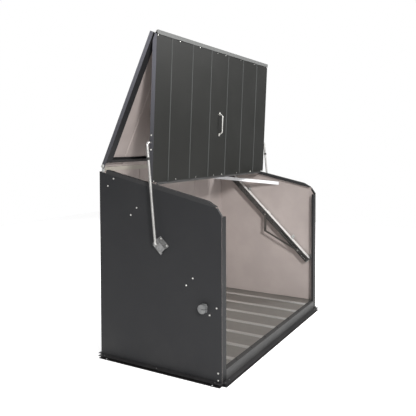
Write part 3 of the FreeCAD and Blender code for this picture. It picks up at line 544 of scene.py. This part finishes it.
lamps = {
    "leftKey": {"place": (-5.2, -5.4, 4.2), "size": 1.1, "watts": 560,
                "colour": (1.0, 0.99, 0.98)},
    "rightKey": {"place": (3.6, -4.6, 4.6), "size": 0.7, "watts": 430,
                 "colour": (1.0, 1.0, 1.0)},
    "topSoft": {"place": (-0.5, -0.5, 6.0), "size": 4.0, "watts": 90,
                "colour": (0.98, 0.98, 1.0)},
    "rearFill": {"place": (3.5, 5.0, 3.5), "size": 4.0, "watts": 120,
                 "colour": (1.0, 1.0, 1.0)},
}
studio = {
    "aim": (0, 0, 1.0),                  # what the lamps point at
    "backdrop": (1, 1, 1, 1),
    "seen": 1.0,                         # backdrop's strength as looked at
    "fill": 0.30,                        # and as it lights
}


def addLights():
    for name, lamp in lamps.items():
        data = bpy.data.lights.new(name, "AREA")
        data.shape = "DISK"
        data.size = lamp["size"]
        data.energy = lamp["watts"]
        data.color = lamp["colour"]
        holder = bpy.data.objects.new(name, data)
        place = Vector(lamp["place"])
        aim = (Vector(studio["aim"]) - place).to_track_quat("-Z", "Y")
        holder.matrix_world = Matrix.Translation(place) @ aim.to_matrix().to_4x4()
        bpy.context.scene.collection.objects.link(holder)
    world = bpy.data.worlds.new("paleStudio")
    world.use_nodes = True
    tree = world.node_tree
    path = tree.nodes.new("ShaderNodeLightPath")
    strength = tree.nodes.new("ShaderNodeMapRange")
    strength.inputs["To Min"].default_value = studio["fill"]
    strength.inputs["To Max"].default_value = studio["seen"]
    tree.links.new(path.outputs["Is Camera Ray"], strength.inputs["Value"])
    tree.links.new(strength.outputs[0], tree.nodes["Background"].inputs["Strength"])
    tree.nodes["Background"].inputs["Color"].default_value = studio["backdrop"]
    bpy.context.scene.world = world
    bpy.context.scene.view_settings.view_transform = "Standard"


ground = {
    "size": 6.5,
    "below": 0.0005,
    "dark": (0.86, 0.86, 0.86),
    "light": (0.90, 0.90, 0.90),
    "grain": (60.0, 4, 0.5),
    "rough": 0.7,
    "grainRough": 0.1,
    "glow": 0.68,
}


def paleGround():
    mat = Mat("paleFloor")
    grain = mat.noise(*ground["grain"])
    base = mat.mix(grain, ground["dark"], ground["light"])
    mat.set(baseColor=base, emissionColor=base,
            roughness=ground["rough"] + grain * ground["grainRough"])
    mat.shader.inputs["Emission Strength"].default_value = ground["glow"]
    return mat.material


def addFloor():
    mesh = bpy.data.meshes.new("floor")
    bm = bmesh.new()
    bmesh.ops.create_grid(bm, x_segments=1, y_segments=1, size=ground["size"])
    bm.to_mesh(mesh)
    bm.free()
    floor = bpy.data.objects.new("floor", mesh)
    floor.location.z = -ground["below"]
    mesh.materials.append(paleGround())
    bpy.context.scene.collection.objects.link(floor)


addCamera()
addLights()
addFloor()
print("camera and lights set")


# mesh helpers
meshing = {
    "solidWeld": 1e-6,                   # joins the corners of one CAD solid
    "turnedWeld": 1e-7,                  # joins the axis and the ends of a turned outline
    "sharp": math.radians(38),
}


def islands(name):                       # low and high corner of each solid in a CAD node
    bm = bmesh.new()
    bm.from_mesh(nodes[name].data)
    bmesh.ops.remove_doubles(bm, verts=bm.verts, dist=meshing["solidWeld"])
    found = []
    seen = set()
    for start in bm.verts:
        if start.index in seen:
            continue
        stack = [start]
        seen.add(start.index)
        points = []
        while stack:
            vertex = stack.pop()
            points.append(vertex.co.copy())
            for edge in vertex.link_edges:
                other = edge.other_vert(vertex)
                if other.index not in seen:
                    seen.add(other.index)
                    stack.append(other)
        low = Vector(min(p[i] for p in points) for i in range(3))
        high = Vector(max(p[i] for p in points) for i in range(3))
        found.append((low, high))
    bm.free()
    return found


def addPiece(name, bm, finish, body, slot, *replaced):
    bmesh.ops.recalc_face_normals(bm, faces=bm.faces)
    mesh = bpy.data.meshes.new(name)
    bm.to_mesh(mesh)
    bm.free()
    mesh.materials.append(finishes[finish])
    piece = bpy.data.objects.new(name, mesh)
    bpy.context.scene.collection.objects.link(piece)
    for face in mesh.polygons:
        face.use_smooth = True
    mesh.set_sharp_from_angle(angle=meshing["sharp"])
    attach(piece, body)
    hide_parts(*replaced)
    return piece


# spins an outline of radius and height pairs about an axis
def turned(bm, outline, centre, way, steps):
    side = way.orthogonal().normalized()
    verts = [bm.verts.new(centre + side * r + way * h) for r, h in outline]
    edges = [bm.edges.new(pair) for pair in zip(verts, verts[1:])]
    bmesh.ops.spin(bm, geom=verts + edges, cent=centre, axis=way, dvec=(0, 0, 0),
                   angle=math.tau, steps=steps, use_merge=True, use_duplicate=False)
    bmesh.ops.remove_doubles(bm, verts=bm.verts, dist=meshing["turnedWeld"])


# screws and rivets
fixings = {
    "panelHead": (0.0065, 0.0035, 0.0030),   # radius, height, recess radius
    "baseHead": (0.0050, 0.0035, 0.0024),
    "sillHead": (0.0060, 0.0034, 0.0028),
    "plateHead": (0.0065, 0.0034, 0.0030),
    "rivet": (0.0040, 0.0016),
    "seat": 0.0035,                          # a head's foot, in from the CAD fastener's end
    "rivetSeat": 0.0008,                     # a rivet's foot, behind the middle of its solid
    "recess": ((0.0, 0.55), (0.85, 0.5)),    # out and down, shares of the recess radius
    "recessLip": 0.0001,
    "recessRim": 1.25,
    "crown": ((0.72, 0.93), (0.9, 0.72), (0.985, 0.4)),   # shares of radius and height
    "skirt": 0.0004,
    "foot": 0.99,
    "domeStep": 15,                          # degrees
    "steps": 20,
}


# a domed head with a round-cornered drive recess
def panHead(radius, height, socket):
    outline = [(socket * out, height - socket * down) for out, down in fixings["recess"]]
    outline += [(socket, height - fixings["recessLip"]), (socket * fixings["recessRim"], height)]
    outline += [(radius * out, height * up) for out, up in fixings["crown"]]
    return outline + [(radius, fixings["skirt"]), (radius * fixings["foot"], 0.0), (0.0, 0.0)]


def domedRivet(radius, height):
    angles = [math.radians(d) for d in range(0, 90, fixings["domeStep"])]
    return [(radius * math.cos(a), height * math.sin(a)) for a in angles] + [(0.0, height)]


# the head sits at the outer end of the CAD fastener
def addHeads(name, node, body, finish, slot, outline, wayOf):
    bm = bmesh.new()
    for low, high in islands(node):
        way, seat = wayOf(low, high)
        turned(bm, outline, seat, way, fixings["steps"])
    addPiece(name, bm, finish, body, slot, node)


def sideways(low, high):
    middle = (low + high) / 2
    side = 1 if middle.x > 0 else -1
    edge = high.x if side > 0 else low.x
    return Vector((side, 0, 0)), Vector((edge - side * fixings["seat"], middle.y, middle.z))


def upward(low, high):
    middle = (low + high) / 2
    return Vector((0, 0, 1)), Vector((middle.x, middle.y, high.z - fixings["seat"]))


def forward(low, high):
    return doorOut, (low + high) / 2 - doorOut * fixings["rivetSeat"]


addHeads("panel_screw_heads", "panel_screws", "cabinet", "zinc", "zinc_fittings",
         panHead(*fixings["panelHead"]), sideways)
addHeads("base_screw_heads", "base_screws", "cabinet", "dull", "zinc_fittings",
         panHead(*fixings["baseHead"]), upward)
addHeads("sill_screw_heads", "sill_screws", "cabinet", "darkScrew", "dark_screws",
         panHead(*fixings["sillHead"]), upward)
addHeads("plate_screw_heads", "plate_screws", "door", "zinc", "zinc_fittings",
         panHead(*fixings["plateHead"]), sideways)
addHeads("door_rivet_heads", "door_rivets", "door", "pull", "zinc_fittings",
         domedRivet(*fixings["rivet"]), forward)
print("fasteners made")


# rubber collars on the arms
collar = {
    "ribs": 4,
    "depth": 0.0012,                     # of the grooves between ribs
    "wall": 0.0034,
    "radius": 0.0125,
    "half": 0.009,                       # half its length
    "chamfer": 0.0012,
    "groove": (0.35, 0.55, 0.75, 0.95),  # edge, floor, floor, edge, as shares of the pitch
    "steps": 40,
}


def addCollar(side):
    node = "arm_collar_" + side
    reach = doorPin - Vector(joints["arm_" + side + "_pivot"]["pos_m"])
    way = Vector((0, reach.y, reach.z)).normalized()
    low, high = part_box(node)
    radius, half, chamfer = collar["radius"], collar["half"], collar["chamfer"]
    bore = radius - collar["wall"]
    floor = radius - collar["depth"]
    pitch = 2 * (half - chamfer) / collar["ribs"]
    outline = [(bore, -half), (radius - chamfer, -half), (radius, chamfer - half)]
    for k in range(collar["ribs"]):
        start = chamfer - half + k * pitch
        edges = [start + pitch * share for share in collar["groove"]]
        outline += zip((radius, floor, floor, radius), edges)
    outline += [(radius - chamfer, half), (bore, half), (bore, -half)]
    bm = bmesh.new()
    turned(bm, outline, (low + high) / 2, way, collar["steps"])
    addPiece("collar_" + side, bm, "rubber", "arm_" + side, "black_rubber", node)


for side in ("left", "right"):
    addCollar(side)


# arm catches: moulded discs with a flat and a slit
catch = {
    "radius": 0.0315,
    "flat": 0.024,                       # from the middle
    "segments": 64,
    "edge": 0.0035,                      # rounding of the outer rim
    "edgeSteps": 4,
    "rimAngle": 0.9,                     # radians between faces that makes an edge a rim
    "rimFrom": 0.4,                      # share of the height above which rims are rounded
    "slit": 0.004,
    "slitDepth": 0.030,
    "slitStart": 0.004,                  # cutter's middle in front of the disc
    "cutter": 0.060,                     # cutter's length through the disc
}


def addCatches():
    bm = bmesh.new()
    for low, high in islands("arm_catches"):
        side = 1 if high.x > 0 else -1
        seat = low.x if side > 0 else high.x
        tall = high.x - low.x
        centre = Vector((seat, high.y - catch["radius"], (low.z + high.z) / 2))
        part = bmesh.new()
        disc = bmesh.ops.create_cone(part, cap_ends=True, segments=catch["segments"],
                                     radius1=catch["radius"], radius2=catch["radius"],
                                     depth=tall)
        bmesh.ops.translate(part, verts=disc["verts"], vec=(0, 0, tall / 2))
        cut = bmesh.ops.bisect_plane(part, geom=part.verts[:] + part.edges[:] + part.faces[:],
                                     plane_co=(0, -catch["flat"], 0), plane_no=(0, -1, 0),
                                     clear_outer=True)
        bmesh.ops.edgeloop_fill(part, edges=[e for e in cut["geom_cut"]
                                             if isinstance(e, bmesh.types.BMEdge)])
        rim = [e for e in part.edges
               if len(e.link_faces) == 2 and e.calc_face_angle(0) > catch["rimAngle"]
               and (e.verts[0].co.z + e.verts[1].co.z) / 2 > tall * catch["rimFrom"]]
        bmesh.ops.bevel(part, geom=rim, offset=catch["edge"], segments=catch["edgeSteps"],
                        profile=0.5, affect="EDGES", material=-1)
        turn = Matrix.Rotation(math.radians(90 * side), 4, "Y")
        bmesh.ops.transform(part, matrix=turn, verts=part.verts)
        bmesh.ops.translate(part, verts=part.verts, vec=centre)
        mesh = bpy.data.meshes.new("catchPart")
        part.to_mesh(mesh)
        part.free()
        bm.from_mesh(mesh)
        bpy.data.meshes.remove(mesh)
    piece = addPiece("catch_discs", bm, "plastic", "cabinet", "grey_plastic", "arm_catches")
    cutSlit(piece)


# saw slit from the open end towards the middle
def cutSlit(piece):
    bm = bmesh.new()
    for low, high in islands("arm_catches"):
        outer = high.x if high.x > 0 else low.x
        box = bmesh.ops.create_cube(bm, size=1.0)
        size = (catch["cutter"], catch["slitDepth"] * 2, catch["slit"])
        bmesh.ops.scale(bm, verts=box["verts"], vec=size)
        bmesh.ops.translate(bm, verts=box["verts"],
                            vec=(outer, low.y - catch["slitStart"], (low.z + high.z) / 2))
    mesh = bpy.data.meshes.new("slitCutter")
    bm.to_mesh(mesh)
    bm.free()
    cutter = bpy.data.objects.new("slitCutter", mesh)
    bpy.context.scene.collection.objects.link(cutter)
    slit = piece.modifiers.new("slit", "BOOLEAN")
    slit.object = cutter
    slit.operation = "DIFFERENCE"
    slit.solver = "EXACT"
    bpy.context.view_layer.update()
    slitMesh = bpy.data.meshes.new_from_object(
        piece.evaluated_get(bpy.context.evaluated_depsgraph_get()))
    piece.modifiers.clear()
    piece.data = slitMesh
    bpy.data.objects.remove(cutter)


addCatches()
print("collars and catches made")
